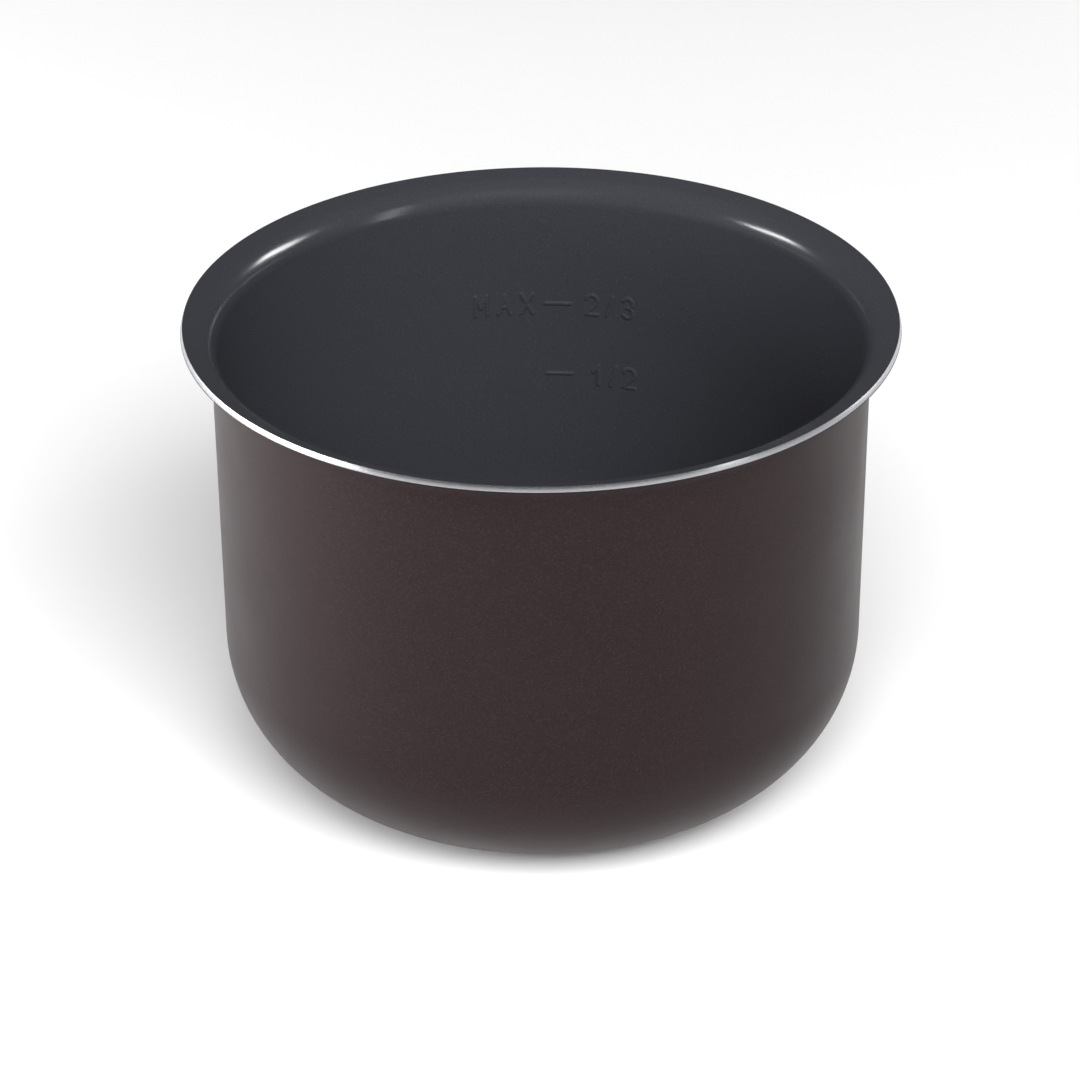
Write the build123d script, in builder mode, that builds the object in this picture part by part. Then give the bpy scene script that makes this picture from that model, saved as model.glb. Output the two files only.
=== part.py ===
from build123d import *

import os
from math import atan2, cos, radians, sin, tan

# Removable inner cooking pot of an electric pressure cooker, in millimetres.
# A round of aluminium sheet is pressed into a vessel with a flared rim, its base is turned, its fill
# marks are stamped, and it is coated inside with ceramic and outside with bronze paint.
# +Z runs up the pot's axis. The origin is the centre of the base, at the height of the surface it
# stands on. The fill marks are on the +Y side of the wall.

# overall
height = 166.0  # from the surface it stands on to the top of the rim
body_diameter = 219.7  # over the painted wall, just under the rim
wall_draft = 0.5  # degrees, the wall narrows towards the base
corner_radius = 49.0  # between floor and wall, on the sheet's inner face

# sheet and coatings
sheet = 2.0
coating = 0.25  # as drawn; a real coat is about 0.04

# rim
rim_overhang = 9.65  # how far it reaches out from the painted wall
rim_rise = 17.0  # degrees, the flange climbs outwards
rim_bend_radius = 9.0  # between wall and flange, on the sheet's inner face

# base, bare and turned: a flat ring to stand on around a shallow dish
base_margin = 2.5  # from the turned base out to where the corner starts to curve
base_step = 0.6  # how far the turned base stands proud of the sheet around it
ring_width = 14.0
dish_rise = 1.2

# fill marks, raised inside and sunk outside, at heights above the surface it stands on
max_level = 117.8
half_level = 89.9
mark_relief = 0.4
mark_sink = 0.3
mark_stroke = 1.5
mark_height = 9.0
mark_width = 5.6
dash_length = 10.6

# worked out from the sizes above
draft = radians(wall_draft)
rise = radians(rim_rise)
whole_wall = sheet + coating
floor_height = base_step + sheet
edge_radius = body_diameter / 2 + rim_overhang - whole_wall * sin(rise)
edge_height = height - coating * cos(rise)
neck_radius = body_diameter / 2 - whole_wall / cos(draft)
neck_height = edge_height - (edge_radius - neck_radius) * tan(rise)


def wall_radius(z):
    """Radius of the sheet's inner face at height z on the wall."""
    return neck_radius - (neck_height - z) * tan(draft)


base_radius = wall_radius(floor_height) - corner_radius - base_margin
dish_radius = base_radius - ring_width
dish_run = dish_radius / 2  # the dish is level in the middle and slopes over its outer half
dish_blend_radius = dish_run / 3 / tan(atan2(dish_rise, dish_run) / 2)

# the sheet's inner face in section, from the floor's centre to the rim's edge
face_corners = [
    Vector(0, floor_height + dish_rise),
    Vector(dish_radius - dish_run, floor_height + dish_rise),
    Vector(dish_radius, floor_height),
    Vector(wall_radius(floor_height), floor_height),
    Vector(neck_radius, neck_height),
    Vector(edge_radius, edge_height),
]


def skin_corners(depth):
    """Corners of the surface this deep under the sheet's inner face; a coat on it has less than 0."""
    normals = []
    for start, end in zip(face_corners, face_corners[1:]):
        normals.append(Vector(end.Y - start.Y, start.X - end.X).normalized())
    shifts = [normals[0]]
    for before, after in zip(normals, normals[1:]):
        shifts.append((before + after) / (1 + before.dot(after)))
    shifts.append(normals[-1])
    return [corner + shift * depth for corner, shift in zip(face_corners, shifts)]


def skin_radii(depth):
    """Bend radii of that surface: both sides of the dish, the corner and the rim."""
    return [
        dish_blend_radius - depth,
        dish_blend_radius + depth,
        corner_radius + depth,
        rim_bend_radius - depth,
    ]


def layer(inner_depth, outer_depth):
    """The pot's whole shape as one layer between two depths."""
    with BuildPart() as shell:
        with BuildSketch(Plane.XZ):
            with BuildLine():
                inner = FilletPolyline(*skin_corners(inner_depth), radius=skin_radii(inner_depth))
                outer = FilletPolyline(*skin_corners(outer_depth), radius=skin_radii(outer_depth))
                Line(inner @ 0, outer @ 0)
                Line(inner @ 1, outer @ 1)
            make_face()
        revolve(axis=Axis.Z)
    return shell.part


def base_cylinder():
    """Everything inside the turned base's edge, up past the floor."""
    with BuildPart() as cylinder:
        with BuildSketch():
            Circle(base_radius)
        extrude(amount=corner_radius)
    return cylinder.part


# Each glyph is a list of pen strokes about its own centre.
pen_top = (mark_height - mark_stroke) / 2
pen_side = (mark_width - mark_stroke) / 2
bar_side = pen_side / 2
dash_side = (dash_length - mark_stroke) / 2


def pen(*points):
    with BuildLine() as path:
        Polyline(*points)
    return path.line


def letter_m():
    left = (-pen_side, pen_top)
    right = (pen_side, pen_top)
    return [pen((-pen_side, -pen_top), left, (0, -bar_side), right, (pen_side, -pen_top))]


def letter_a():
    legs = pen((-pen_side, -pen_top), (0, pen_top), (pen_side, -pen_top))
    return [legs, pen((-bar_side, -bar_side), (bar_side, -bar_side))]


def letter_x():
    down = pen((-pen_side, pen_top), (pen_side, -pen_top))
    return [down, pen((-pen_side, -pen_top), (pen_side, pen_top))]


def digit_1():
    return [pen((-pen_side, bar_side), (0, pen_top), (0, -pen_top))]


def digit_2():
    with BuildLine() as path:
        bowl = CenterArc((0, pen_top - pen_side), pen_side, 165, -205)
        Polyline(bowl @ 1, (-pen_side, -pen_top), (pen_side, -pen_top))
    return [path.line]


def digit_3():
    bowl_radius = pen_top / 2
    with BuildLine() as upper:
        CenterArc((0, bowl_radius), bowl_radius, 150, -240)
    with BuildLine() as lower:
        CenterArc((0, -bowl_radius), bowl_radius, 90, -240)
    return [upper.line, lower.line]


def fraction_bar():
    return [pen((-bar_side, -pen_top), (bar_side, pen_top))]


def dash():
    return [pen((-dash_side, 0), (dash_side, 0))]


# each glyph with its centre, as a distance along the wall from +Y towards +X
max_row = [
    (letter_m, -21.5),
    (letter_a, -13.0),
    (letter_x, -5.0),
    (dash, 6.2),
    (digit_2, 18.4),
    (fraction_bar, 25.0),
    (digit_3, 31.6),
]
half_row = [(dash, 6.8), (digit_1, 21.0), (fraction_bar, 26.4), (digit_2, 32.4)]


def mark_prisms(growth):
    """The marks' strokes, widened by growth on each side and driven right through the wall."""
    reach = 2 * whole_wall
    with BuildPart() as prisms:
        for level, row in ((max_level, max_row), (half_level, half_row)):
            for glyph, along in row:
                turn = along / wall_radius(level)
                outward = Vector(sin(turn), cos(turn), 0)
                start = outward * (wall_radius(level) - reach) + Vector(0, 0, level)
                with BuildSketch(Plane(start, x_dir=(cos(turn), -sin(turn), 0), z_dir=-outward)):
                    for stroke in glyph():
                        with BuildLine():
                            offset(stroke, amount=mark_stroke / 2 + growth)
                        make_face()
                extrude(amount=-2 * reach)
    return prisms.part


def between(prisms, inner_depth, outer_depth):
    """The marks' strokes as far as they lie between two depths."""
    with BuildPart() as marks:
        add(prisms)
        add(layer(inner_depth, outer_depth), mode=Mode.INTERSECT)
    return marks.part


strokes = mark_prisms(0)
raised_strokes = between(strokes, -mark_relief, sheet / 2)
sunk_strokes = between(strokes, sheet - mark_sink, sheet)

# the pressing, bare at its turned base and at the rim's cut edge
with BuildPart() as aluminium_body:
    add(base_cylinder())
    add(layer(sheet, floor_height), mode=Mode.INTERSECT)
    add(layer(0, sheet))
    add(raised_strokes)
    add(sunk_strokes, mode=Mode.SUBTRACT)

# inside the pot and over the top of the flange, raised where the marks are
with BuildPart() as ceramic_inner_coating:
    add(layer(-coating, 0))
    add(between(mark_prisms(coating), -mark_relief - coating, 0))
    add(raised_strokes, mode=Mode.SUBTRACT)

# under the flange and down the wall to the turned base, lining the sunk backs of the marks
with BuildPart() as bronze_outer_coating:
    add(layer(sheet, whole_wall))
    add(base_cylinder(), mode=Mode.SUBTRACT)
    add(sunk_strokes)
    add(between(mark_prisms(-coating), whole_wall - mark_sink, whole_wall), mode=Mode.SUBTRACT)

os.makedirs("parts", exist_ok=True)
aluminium_body.part.label = "aluminium_body"
export_step(aluminium_body.part, "parts/aluminium_body.step")
ceramic_inner_coating.part.label = "ceramic_inner_coating"
export_step(ceramic_inner_coating.part, "parts/ceramic_inner_coating.step")
bronze_outer_coating.part.label = "bronze_outer_coating"
export_step(bronze_outer_coating.part, "parts/bronze_outer_coating.step")
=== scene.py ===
from math import atan2, cos, hypot, pi, radians, sin, tan

import bmesh
import bpy
from mathutils import Matrix, Vector


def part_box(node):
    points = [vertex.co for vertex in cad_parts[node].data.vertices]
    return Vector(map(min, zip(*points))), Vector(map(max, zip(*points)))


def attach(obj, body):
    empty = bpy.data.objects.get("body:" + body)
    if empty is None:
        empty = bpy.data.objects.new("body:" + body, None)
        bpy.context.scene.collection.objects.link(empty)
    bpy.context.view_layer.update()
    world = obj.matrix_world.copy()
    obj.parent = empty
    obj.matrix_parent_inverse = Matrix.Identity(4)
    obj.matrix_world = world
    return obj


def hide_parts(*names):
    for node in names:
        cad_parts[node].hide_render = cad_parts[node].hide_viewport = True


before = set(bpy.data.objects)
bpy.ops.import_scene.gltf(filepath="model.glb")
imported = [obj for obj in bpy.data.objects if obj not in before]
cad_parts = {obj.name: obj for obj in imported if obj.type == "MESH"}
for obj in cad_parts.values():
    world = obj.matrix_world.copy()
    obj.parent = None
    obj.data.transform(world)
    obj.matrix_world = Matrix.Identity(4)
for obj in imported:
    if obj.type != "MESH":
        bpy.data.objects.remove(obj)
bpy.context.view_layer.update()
mm = 0.001

# A removable inner pot for an electric pressure cooker: pressed aluminium sheet, dark ceramic
# inside, bronze paint outside. Sizes are in millimetres in the dictionaries, in metres in use.

# the sheet's inner face, from which all three pieces are made
pot = {
    "sheet": 2.0,
    "bodyDiameter": 219.7,  # over the paint, just under the rim
    "drawnCoat": 0.25,  # coat thickness in the frame
    "wallDraft": 0.5,  # degrees
    "rimRise": 17.0,  # degrees
    "rimBend": 9.0,
    "corner": 49.0,
    "columns": 360,  # faces round the pot
    "cornerRows": 30,
    "bendRows": 20,
    "smoothAngle": 35.0,  # degrees, sharper edges than this stay crisp
}
base = {
    "margin": 2.5,  # from the turned face out to the corner's curve
    "step": 0.6,  # the turned face stands proud of the sheet
    "ringWidth": 14.0,
    "dishRise": 1.2,
    "dishRows": 8,
    "stepBevel": 0.18,
    "bevelRows": 2,
}

# profile worked out from the frame and the sizes above, in metres
draft = radians(pot["wallDraft"])
rise = radians(pot["rimRise"])
sheet = pot["sheet"] * mm
floorHeight = (base["step"] + pot["sheet"]) * mm
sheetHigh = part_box("aluminium_body")[1]
edgeHeight = sheetHigh.z
edgeRadius = sheetHigh.x - sheet * sin(rise)
neckRadius = pot["bodyDiameter"] * mm / 2 - (pot["sheet"] + pot["drawnCoat"]) * mm / cos(draft)
neckHeight = edgeHeight - (edgeRadius - neckRadius) * tan(rise)


def wallRadius(z):
    # of the sheet's inner face, at a height on the wall
    return neckRadius - (neckHeight - z) * tan(draft)


footRadius = wallRadius(floorHeight)  # where wall and floor would meet without the rounded corner
baseRadius = footRadius - (pot["corner"] + base["margin"]) * mm
dishRadius = baseRadius - base["ringWidth"] * mm
dishRun = dishRadius / 2  # the dish slopes over its outer half
dishBlend = dishRun / 3


def fromAxis(point):
    return hypot(point.x, point.y)


def pick(piece, kind, test):
    # selects the vertices, edges or faces of the piece being edited that pass the test
    bpy.ops.mesh.select_mode(type={"verts": "VERT", "edges": "EDGE", "faces": "FACE"}[kind])
    bpy.ops.mesh.select_all(action="DESELECT")
    mesh = bmesh.from_edit_mesh(piece.data)
    for part in getattr(mesh, kind):
        if test(part):
            part.select_set(True)
    mesh.select_flush_mode()
    bmesh.update_edit_mesh(piece.data)


def ringAt(radius, height, reach=0.05 * mm):
    # a test for the edges of one loop round the pot
    def near(v):
        return abs(fromAxis(v.co) - radius) < reach and abs(v.co.z - height) < reach

    def test(edge):
        return all(near(v) for v in edge.verts)

    return test


def editMode():
    bpy.ops.object.mode_set(mode="EDIT")


def objectMode():
    bpy.ops.object.mode_set(mode="OBJECT")


def only(piece):
    bpy.ops.object.select_all(action="DESELECT")
    piece.select_set(True)
    bpy.context.view_layer.objects.active = piece


def solidify(piece, thickness, offset):
    only(piece)
    bpy.ops.object.modifier_add(type="SOLIDIFY")
    wall = piece.modifiers[-1]
    wall.thickness = thickness
    wall.offset = offset
    wall.use_even_offset = True
    wall.use_quality_normals = True
    bpy.ops.object.modifier_apply(modifier=wall.name)


def copyOf(piece, name):
    only(piece)
    bpy.ops.object.duplicate()
    made = bpy.context.object
    made.name = name
    made.data.name = name
    return made


def makeFace():
    # the sheet's inner face: an open cylinder with a flange, its loops then rounded
    only(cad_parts["aluminium_body"])
    bpy.ops.object.select_all(action="DESELECT")
    wallHeight = neckHeight - floorHeight
    bpy.ops.mesh.primitive_cylinder_add(
        vertices=pot["columns"],
        radius=neckRadius,
        depth=wallHeight,
        end_fill_type="NGON",
        location=(0, 0, floorHeight + wallHeight / 2),
    )
    face = bpy.context.object
    face.name = "innerFace"
    bpy.ops.object.transform_apply(location=True)
    editMode()

    pick(face, "verts", lambda v: v.co.z < floorHeight + wallHeight / 2)
    shrink = footRadius / neckRadius
    bpy.ops.transform.resize(value=(shrink, shrink, 1), center_override=(0, 0, 0))
    pick(face, "faces", lambda f: f.normal.z > 0.9)
    bpy.ops.mesh.delete(type="ONLY_FACE")

    # flange
    pick(face, "edges", ringAt(neckRadius, neckHeight))
    climb = (0, 0, edgeHeight - neckHeight)
    bpy.ops.mesh.extrude_region_move(TRANSFORM_OT_translate={"value": climb})
    grow = edgeRadius / neckRadius
    bpy.ops.transform.resize(value=(grow, grow, 1), center_override=(0, 0, 0))

    # turned ring and dish
    pick(face, "faces", lambda f: len(f.verts) > 4)
    bpy.ops.mesh.inset(thickness=footRadius - baseRadius)
    bpy.ops.mesh.inset(thickness=baseRadius - dishRadius)
    bpy.ops.mesh.inset(thickness=dishRun)
    bpy.ops.transform.translate(value=(0, 0, base["dishRise"] * mm))
    flatRadius = dishRadius - dishRun
    for radius, height in ((dishRadius, 0), (flatRadius, base["dishRise"] * mm)):
        pick(face, "edges", ringAt(radius, floorHeight + height))
        bpy.ops.mesh.bevel(
            offset=dishBlend, segments=base["dishRows"], affect="EDGES", clamp_overlap=False
        )

    # rounded corner and rim bend
    pick(face, "edges", ringAt(footRadius, floorHeight))
    reach = pot["corner"] * mm * tan((pi / 2 - draft) / 2)
    bpy.ops.mesh.bevel(
        offset=reach, segments=pot["cornerRows"], affect="EDGES", clamp_overlap=False
    )
    pick(face, "edges", ringAt(neckRadius, neckHeight))
    reach = pot["rimBend"] * mm * tan((pi / 2 - draft - rise) / 2)
    bpy.ops.mesh.bevel(
        offset=reach, segments=pot["bendRows"], affect="EDGES", clamp_overlap=False
    )
    objectMode()
    return face


# Level marks, at heights over the surface that the pot stands on. Glyph centres are distances
# along the wall from +Y towards +X.
marks = {
    "stroke": 1.5,
    "height": 9.0,
    "width": 5.6,
    "dash": 10.6,
    "relief": 0.4,
    "softness": 0.55,  # how far the pressed edge fades into the wall
    "sink": 0.3,
    "backSoftness": 0.9,  # the punched backs are softer
    "margin": 1.6,  # of finer wall round the strokes
    "grain": 0.31,  # mesh spacing around the marks
    "bowSteps": 12,
}
markRows = [
    {
        "level": 117.8,
        "glyphs": [
            ("M", -21.5),
            ("A", -13.0),
            ("X", -5.0),
            ("dash", 6.2),
            ("2", 18.4),
            ("bar", 25.0),
            ("3", 31.6),
        ],
    },
    {"level": 89.9, "glyphs": [("dash", 6.8), ("1", 21.0), ("bar", 26.4), ("2", 32.4)]},
]
markRadius = wallRadius((markRows[0]["level"] + markRows[1]["level"]) / 2 * mm)
columnWidth = 2 * pi * markRadius / pot["columns"]


def bow(centre, radius, start, sweep):
    # points along a pen's arc, in degrees
    steps = marks["bowSteps"]
    turns = [radians(start + sweep * i / steps) for i in range(steps + 1)]
    return [(centre[0] + radius * cos(t), centre[1] + radius * sin(t)) for t in turns]


def penStrokes():
    # each glyph as pen lines about its own centre
    top = (marks["height"] - marks["stroke"]) / 2
    side = (marks["width"] - marks["stroke"]) / 2
    bar = side / 2
    reach = (marks["dash"] - marks["stroke"]) / 2
    bowl = top / 2
    return {
        "M": [[(-side, -top), (-side, top), (0, -bar), (side, top), (side, -top)]],
        "A": [[(-side, -top), (0, top), (side, -top)], [(-bar, -bar), (bar, -bar)]],
        "X": [[(-side, top), (side, -top)], [(-side, -top), (side, top)]],
        "1": [[(-side, bar), (0, top), (0, -top)]],
        "2": [bow((0, top - side), side, 165, -205) + [(-side, -top), (side, -top)]],
        "3": [bow((0, bowl), bowl, 150, -240), bow((0, -bowl), bowl, 90, -240)],
        "bar": [[(-bar, -top), (bar, top)]],
        "dash": [[(-reach, 0), (reach, 0)]],
    }


def penDistance(point, line):
    # shortest distance from a point to a pen stroke, all in millimetres
    found = []
    for a, b in zip(line, line[1:]):
        run = (b[0] - a[0], b[1] - a[1])
        across, up = point[0] - a[0], point[1] - a[1]
        share = (across * run[0] + up * run[1]) / (run[0] ** 2 + run[1] ** 2)
        share = min(1, max(0, share))
        found.append(hypot(across - share * run[0], up - share * run[1]))
    return min(found)


def addPatches(face):
    # a finer patch of wall behind each row of marks
    only(face)
    editMode()
    for row in markRows:
        level = row["level"] * mm
        halfHeight = (marks["height"] / 2 + marks["margin"]) * mm
        first = (row["glyphs"][0][1] - marks["dash"] / 2 - marks["margin"]) * mm
        last = (row["glyphs"][-1][1] + marks["dash"] / 2 + marks["margin"]) * mm

        def inPatch(f):
            middle = f.calc_center_median()
            along = atan2(middle.x, middle.y) * markRadius
            return first < along < last and abs(middle.z - level) < halfHeight

        for height in (level - halfHeight, level + halfHeight):
            bpy.ops.mesh.select_all(action="SELECT")
            bpy.ops.mesh.bisect(plane_co=(0, 0, height), plane_no=(0, 0, 1))
        rows = round(2 * halfHeight / columnWidth)
        for i in range(1, rows):
            pick(face, "faces", inPatch)
            height = level - halfHeight + 2 * halfHeight * i / rows
            bpy.ops.mesh.bisect(plane_co=(0, 0, height), plane_no=(0, 0, 1))
        pick(face, "faces", inPatch)
        bpy.ops.mesh.subdivide(number_cuts=round(columnWidth / (marks["grain"] * mm)) - 1)
    objectMode()


def pushMarks(piece, depth, softness, skin):
    # moves the strokes on one skin of the wall towards the pot's axis, with soft edges
    halfStroke = (marks["stroke"] - softness) / 2

    def underPen(v):
        if v.co.y < 0 or not skin(v):
            return False
        along = atan2(v.co.x, v.co.y) * markRadius / mm
        for row in markRows:
            up = v.co.z / mm - row["level"]
            if abs(up) > marks["height"] / 2:
                continue
            for name, centre in row["glyphs"]:
                if abs(along - centre) > marks["dash"] / 2:
                    continue
                place = (along - centre, up)
                if any(penDistance(place, line) < halfStroke for line in glyphs[name]):
                    return True
        return False

    only(piece)
    editMode()
    pick(piece, "verts", underPen)
    shrink = 1 - depth * mm / markRadius
    bpy.ops.transform.resize(
        value=(shrink, shrink, 1),
        center_override=(0, 0, 0),
        use_proportional_edit=True,
        proportional_edit_falloff="SMOOTH",
        proportional_size=softness * mm,
    )
    objectMode()


# the cut edge is eased under the flange; the ceramic covers its top corner
rimEdge = {"round": 0.25, "rows": 3}


def makeBody(face):
    body = copyOf(face, "pressedBody")
    solidify(body, sheet, 1)
    editMode()

    # the underside is turned flat out to the base's edge, one step proud of the sheet
    under = floorHeight - sheet / 2

    def turned(f):
        middle = f.calc_center_median()
        inBase = fromAxis(middle) < baseRadius and middle.z < under + base["dishRise"] * mm
        return inBase and f.normal.z < -0.9

    pick(body, "faces", turned)
    bpy.ops.mesh.extrude_region_move(TRANSFORM_OT_translate={"value": (0, 0, -base["step"] * mm)})
    pick(body, "edges", ringAt(baseRadius, 0))
    bpy.ops.mesh.bevel(
        offset=base["stepBevel"] * mm,
        segments=base["bevelRows"],
        affect="EDGES",
        clamp_overlap=False,
    )

    pick(body, "edges", ringAt(edgeRadius + sheet * sin(rise), edgeHeight - sheet * cos(rise)))
    bpy.ops.mesh.bevel(
        offset=rimEdge["round"] * mm,
        segments=rimEdge["rows"],
        affect="EDGES",
        clamp_overlap=False,
    )
    objectMode()

    def insideSkin(v):
        return fromAxis(v.co) < wallRadius(v.co.z) + sheet / 2

    pushMarks(body, marks["relief"], marks["softness"], insideSkin)
    pushMarks(body, marks["sink"], marks["backSoftness"], lambda v: not insideSkin(v))
    return body


# thicker than the real films, so that each is a sound solid
coats = {"ceramic": 0.1, "bronze": 0.1}


def makeLining(face):
    lining = copyOf(face, "ceramicLining")
    solidify(lining, coats["ceramic"] * mm, -1)
    pushMarks(lining, marks["relief"], marks["softness"], lambda v: True)
    return lining


def makeBronze(face):
    # the sheet's outer face, without the turned base
    bronze = copyOf(face, "bronzeCoat")
    editMode()
    bpy.ops.mesh.select_all(action="SELECT")
    bpy.ops.transform.shrink_fatten(value=sheet, use_even_offset=True)
    pick(bronze, "faces", lambda f: fromAxis(f.calc_center_median()) < baseRadius)
    bpy.ops.mesh.delete(type="FACE")
    objectMode()
    solidify(bronze, coats["bronze"] * mm, 1)
    pushMarks(bronze, marks["sink"], marks["backSoftness"], lambda v: True)
    return bronze


def finishPiece(piece, node):
    only(piece)
    bpy.ops.object.shade_smooth_by_angle(angle=radians(pot["smoothAngle"]))
    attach(piece, "root")
    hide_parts(node)
    print(piece.name, len(piece.data.polygons), "faces")


face = makeFace()
print("pressed the sheet")
glyphs = penStrokes()
addPatches(face)
print("meshed the wall behind the marks")
body = makeBody(face)
lining = makeLining(face)
bronze = makeBronze(face)
print("stamped the marks on all three")
bpy.data.objects.remove(face)
finishPiece(body, "aluminium_body")
finishPiece(lining, "ceramic_inner_coating")
finishPiece(bronze, "bronze_outer_coating")


def linear(hexColour):
    # sRGB hex to the linear values that shaders take
    values = [int(hexColour[i : i + 2], 16) / 255 for i in (1, 3, 5)]
    return [v / 12.92 if v <= 0.04045 else ((v + 0.055) / 1.055) ** 2.4 for v in values] + [1]


def addNode(tree, kind, settings=None, links=None):
    # adds one node, sets its properties, sockets and colour stops, and links its inputs
    node = tree.nodes.new(kind)
    for key, value in (settings or {}).items():
        if key == "stops":
            points = node.color_ramp.elements
            points.remove(points[1])
            points[0].position, points[0].color = value[0][0], linear(value[0][1])
            for position, colour in value[1:]:
                points.new(position).color = linear(colour)
        elif key in node.inputs:
            node.inputs[key].default_value = value
        else:
            setattr(node, key, value)
    for key, output in (links or {}).items():
        tree.links.new(output, node.inputs[key])
    return node


def newMaterial(name):
    material = bpy.data.materials.new(name)
    material.use_nodes = True
    material.node_tree.nodes.clear()
    return material, material.node_tree


def plainMaterial(name, colour, roughness):
    material, tree = newMaterial(name)
    shader = addNode(
        tree, "ShaderNodeBsdfPrincipled", {"Base Color": linear(colour), "Roughness": roughness}
    )
    addNode(tree, "ShaderNodeOutputMaterial", links={"Surface": shader.outputs[0]})
    return material


noiseRange = (0.3, 0.7)  # nearly all of a noise texture's values lie between these


# Ceramic coat, a sol-gel film sprayed on and baked: dark grey, satin and slightly cool, with a fine
# speckle of filler and a faint orange peel that breaks up the reflections.
ceramic = {
    "grey": "#34353a",
    "fleck": "#45464d",
    "pit": "#2c2d31",
    "speckle": 0.45,  # mm, coarser than the real filler so that it shows
    "peel": 1.6,  # mm
    "peelHeight": 0.006,  # mm
    "grainHeight": 0.004,  # mm
    "roughness": (0.17, 0.22),
    "patch": 30.0,  # mm, slow changes of gloss from the spray gun
}


def ceramicMaterial():
    material, tree = newMaterial("ceramicCoatSprayed")
    place = addNode(tree, "ShaderNodeTexCoord").outputs["Object"]
    speckle = addNode(
        tree,
        "ShaderNodeTexNoise",
        {"Scale": 1 / (ceramic["speckle"] * mm), "Detail": 2.0, "Roughness": 0.6},
        {"Vector": place},
    )
    pit, grey, fleck = ceramic["pit"], ceramic["grey"], ceramic["fleck"]
    colour = addNode(
        tree,
        "ShaderNodeValToRGB",
        {"stops": [(0.3, pit), (0.42, grey), (0.62, grey), (0.74, fleck)]},
        {"Fac": speckle.outputs["Fac"]},
    )
    spray = addNode(
        tree,
        "ShaderNodeTexNoise",
        {"Scale": 1 / (ceramic["patch"] * mm), "Detail": 3.0},
        {"Vector": place},
    )
    least, most = noiseRange
    low, high = ceramic["roughness"]
    gloss = addNode(
        tree,
        "ShaderNodeMapRange",
        {"From Min": least, "From Max": most, "To Min": low, "To Max": high},
        {"Value": spray.outputs["Fac"]},
    )
    peel = addNode(
        tree,
        "ShaderNodeTexNoise",
        {"Scale": 1 / (ceramic["peel"] * mm), "Detail": 1.0},
        {"Vector": place},
    )
    wave = addNode(
        tree,
        "ShaderNodeBump",
        {"Distance": ceramic["peelHeight"] * mm},
        {"Height": peel.outputs["Fac"]},
    )
    grain = addNode(
        tree,
        "ShaderNodeBump",
        {"Distance": ceramic["grainHeight"] * mm},
        {"Height": speckle.outputs["Fac"], "Normal": wave.outputs["Normal"]},
    )
    shader = addNode(
        tree,
        "ShaderNodeBsdfPrincipled",
        {"IOR": 1.45},
        {
            "Base Color": colour.outputs["Color"],
            "Roughness": gloss.outputs["Result"],
            "Normal": grain.outputs["Normal"],
        },
    )
    addNode(tree, "ShaderNodeOutputMaterial", links={"Surface": shader.outputs[0]})
    return material


# Bronze paint, a brown stoving enamel with aluminium flake: satin and warm, lighter where it turns
# edge-on, with a fine glitter and an orange peel a little coarser than the ceramic's.
paint = {
    "brown": "#2f2526",
    "lightFlake": "#382d2f",
    "darkFlake": "#2b2123",
    "flake": 0.4,  # mm, coarser than real flake so that it shows
    "peel": 2.2,  # mm
    "peelHeight": 0.008,  # mm
    "metallic": 0.8,
    "specular": 0.3,
    "roughness": (0.45, 0.52),
    "patch": 40.0,  # mm
}


def bronzeMaterial():
    material, tree = newMaterial("bronzePaintSatin")
    place = addNode(tree, "ShaderNodeTexCoord").outputs["Object"]
    flake = addNode(
        tree, "ShaderNodeTexVoronoi", {"Scale": 1 / (paint["flake"] * mm)}, {"Vector": place}
    )
    tone = addNode(tree, "ShaderNodeSeparateColor", links={"Color": flake.outputs["Color"]})
    dark, brown, light = paint["darkFlake"], paint["brown"], paint["lightFlake"]
    colour = addNode(
        tree,
        "ShaderNodeValToRGB",
        {"stops": [(0.0, dark), (0.35, brown), (0.8, brown), (1.0, light)]},
        {"Fac": tone.outputs["Red"]},
    )
    spray = addNode(
        tree,
        "ShaderNodeTexNoise",
        {"Scale": 1 / (paint["patch"] * mm), "Detail": 3.0},
        {"Vector": place},
    )
    least, most = noiseRange
    low, high = paint["roughness"]
    gloss = addNode(
        tree,
        "ShaderNodeMapRange",
        {"From Min": least, "From Max": most, "To Min": low, "To Max": high},
        {"Value": spray.outputs["Fac"]},
    )
    peel = addNode(
        tree,
        "ShaderNodeTexNoise",
        {"Scale": 1 / (paint["peel"] * mm), "Detail": 1.0},
        {"Vector": place},
    )
    wave = addNode(
        tree,
        "ShaderNodeBump",
        {"Distance": paint["peelHeight"] * mm},
        {"Height": peel.outputs["Fac"]},
    )
    shader = addNode(
        tree,
        "ShaderNodeBsdfPrincipled",
        {"Metallic": paint["metallic"], "Specular IOR Level": paint["specular"]},
        {
            "Base Color": colour.outputs["Color"],
            "Roughness": gloss.outputs["Result"],
            "Normal": wave.outputs["Normal"],
        },
    )
    addNode(tree, "ShaderNodeOutputMaterial", links={"Surface": shader.outputs[0]})
    return material


# Bare aluminium, turned on a lathe at the base and at the rim's cut edge: bright and cool, with
# fine rings all round that draw its highlights out sideways.
bare = {
    "bright": "#a8a8ab",
    "dull": "#909094",
    "ring": 0.3,  # mm between tool marks
    "ringHeight": 0.003,  # mm
    "roughness": (0.2, 0.34),
}


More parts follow.
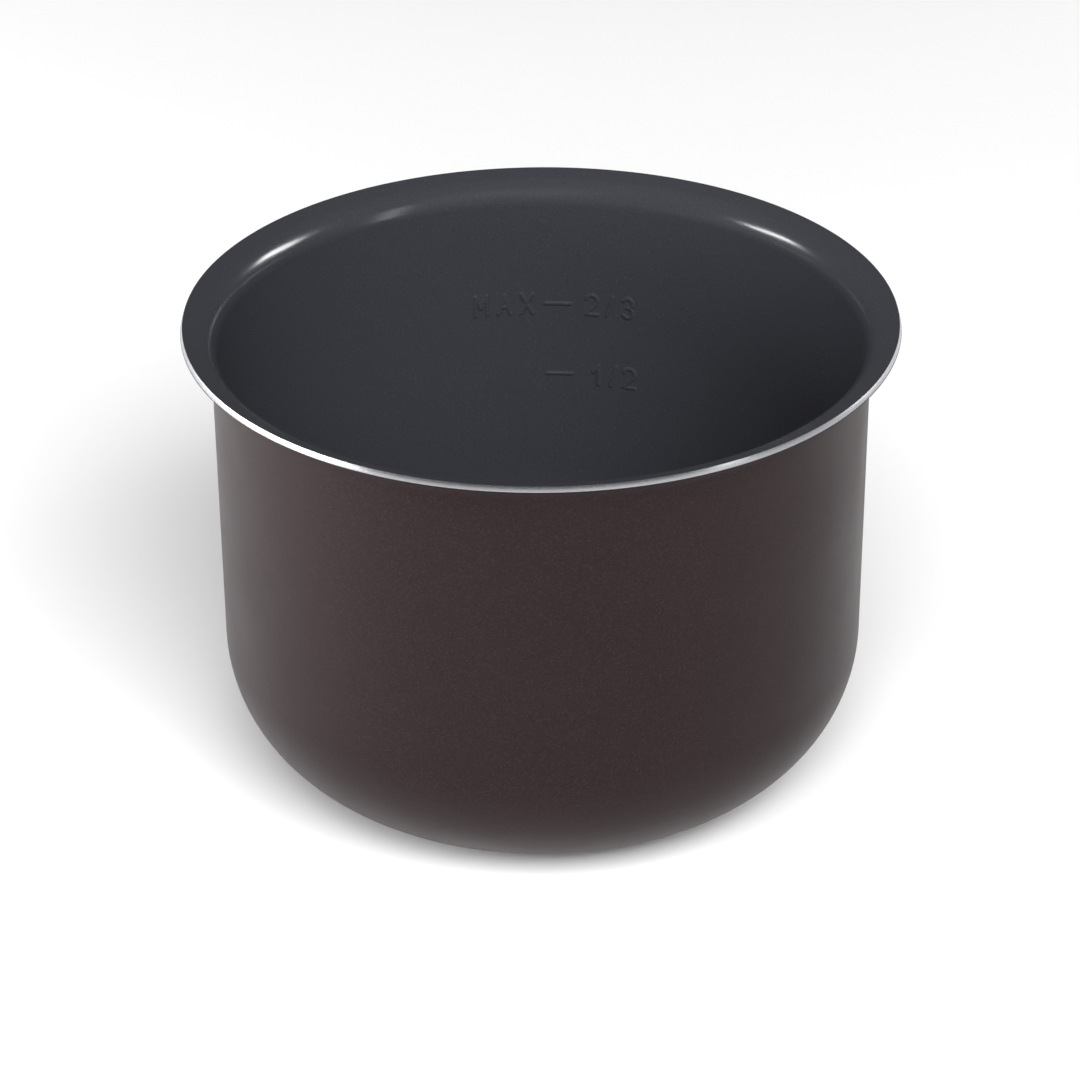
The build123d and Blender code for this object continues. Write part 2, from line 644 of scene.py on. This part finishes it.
def aluminiumMaterial():
    material, tree = newMaterial("bareAluminiumTurned")
    place = addNode(tree, "ShaderNodeTexCoord").outputs["Object"]
    # radius and height only, so every line runs right round the pot
    axes = addNode(tree, "ShaderNodeSeparateXYZ", links={"Vector": place})
    flat = addNode(
        tree, "ShaderNodeCombineXYZ", links={"X": axes.outputs["X"], "Y": axes.outputs["Y"]}
    )
    radius = addNode(
        tree, "ShaderNodeVectorMath", {"operation": "LENGTH"}, {"Vector": flat.outputs[0]}
    )
    across = addNode(
        tree, "ShaderNodeCombineXYZ", links={"X": radius.outputs["Value"], "Y": axes.outputs["Z"]}
    )
    lines = addNode(
        tree,
        "ShaderNodeTexNoise",
        {"Scale": 1 / (bare["ring"] * mm), "Detail": 2.0},
        {"Vector": across.outputs[0]},
    )
    colour = addNode(
        tree,
        "ShaderNodeValToRGB",
        {"stops": [(0.35, bare["dull"]), (0.65, bare["bright"])]},
        {"Fac": lines.outputs["Fac"]},
    )
    least, most = noiseRange
    low, high = bare["roughness"]
    gloss = addNode(
        tree,
        "ShaderNodeMapRange",
        {"From Min": least, "From Max": most, "To Min": high, "To Max": low},
        {"Value": lines.outputs["Fac"]},
    )
    rings = addNode(
        tree,
        "ShaderNodeBump",
        {"Distance": bare["ringHeight"] * mm},
        {"Height": lines.outputs["Fac"]},
    )
    shader = addNode(
        tree,
        "ShaderNodeBsdfPrincipled",
        {"Metallic": 1.0},
        {
            "Base Color": colour.outputs["Color"],
            "Roughness": gloss.outputs["Result"],
            "Normal": rings.outputs["Normal"],
        },
    )
    addNode(tree, "ShaderNodeOutputMaterial", links={"Surface": shader.outputs[0]})
    return material


body.data.materials.append(aluminiumMaterial())
lining.data.materials.append(ceramicMaterial())
bronze.data.materials.append(bronzeMaterial())
print("made the materials")

studio = {
    "cameraPlace": (-0.72, -1299.8, 807.9),
    "cameraAim": (-0.72, 0, 80.5),
    "cameraRoll": -0.34,  # degrees
    "lens": 145.5,
    "sensor": 36.0,
    "floorSize": 6000.0,
    "floor": "#f0f0f0",
    "floorRoughness": 0.9,
    "worldStrength": 0.07,
    "backdrop": "#f0f0f0",  # seen behind the floor, but not lighting the pot
}
# Place, aim, size across and up in millimetres, and watts. A fill only lights and a glint is only
# mirrored; the others do both.
softboxes = {
    "highFill": ((500, -2150, 2400), (0, 60, 90), (2600, 1400), 150),
    "lowFill": ((500, -2750, 1690), (0, 60, 90), (3000, 1100), 35),
    "leftFill": ((-2000, -250, 420), (0, 0, 100), (1900, 740), 40),
    "leftSide": ((-1100, 0, 84), (0, 0, 84), (1400, 145), 10),
    "leftGlint": ((-1900, 130, 1080), (0, 0, 160), (760, 230), 19),
    "rightGlint": ((1840, 650, 1080), (0, 0, 160), (700, 340), 21),
    "rightStrip": ((1700, -1150, 750), (0, 0, 120), (260, 1500), 5.5),
    "rightLow": ((950, 820, 82), (0, 0, 82), (1300, 150), 6),
    "leftLow": ((-900, 900, 82), (0, 0, 82), (1000, 150), 3.4),
}

bpy.ops.mesh.primitive_plane_add(size=studio["floorSize"] * mm)
floor = bpy.context.object
floor.name = "studioFloor"
paper = plainMaterial("palePaperFloor", studio["floor"], studio["floorRoughness"])
floor.data.materials.append(paper)

for name, (place, aim, size, watts) in softboxes.items():
    lampData = bpy.data.lights.new(name, "AREA")
    lampData.shape = "RECTANGLE"
    lampData.size, lampData.size_y = size[0] * mm, size[1] * mm
    lampData.energy = watts
    lamp = bpy.data.objects.new(name, lampData)
    lamp.location = Vector(place) * mm
    lamp.rotation_euler = (Vector(aim) - Vector(place)).to_track_quat("-Z", "Y").to_euler()
    lamp.visible_glossy = "Fill" not in name
    lamp.visible_diffuse = "Glint" not in name
    lamp.visible_camera = False
    bpy.context.scene.collection.objects.link(lamp)

place = Vector(studio["cameraPlace"]) * mm
aim = Vector(studio["cameraAim"]) * mm
bpy.ops.object.camera_add(location=place)
camera = bpy.context.object
camera.data.lens = studio["lens"]
camera.data.sensor_width = studio["sensor"]
turn = (aim - place).to_track_quat("-Z", "Y").to_matrix()
roll = Matrix.Rotation(radians(studio["cameraRoll"]), 3, "Z")
camera.rotation_euler = (turn @ roll).to_euler()
bpy.context.scene.camera = camera

world = bpy.data.worlds.new("paleStudio")
world.use_nodes = True
sky = world.node_tree
sky.nodes.clear()
glow = addNode(
    sky, "ShaderNodeBackground", {"Color": (1, 1, 1, 1), "Strength": studio["worldStrength"]}
)
backdrop = addNode(sky, "ShaderNodeBackground", {"Color": linear(studio["backdrop"])})
ray = addNode(sky, "ShaderNodeLightPath")
seen = addNode(
    sky,
    "ShaderNodeMixShader",
    links={"Fac": ray.outputs["Is Camera Ray"], 1: glow.outputs[0], 2: backdrop.outputs[0]},
)
addNode(sky, "ShaderNodeOutputWorld", links={"Surface": seen.outputs[0]})
bpy.context.scene.world = world
bpy.context.scene.view_settings.view_transform = "Standard"
print("set up the studio")
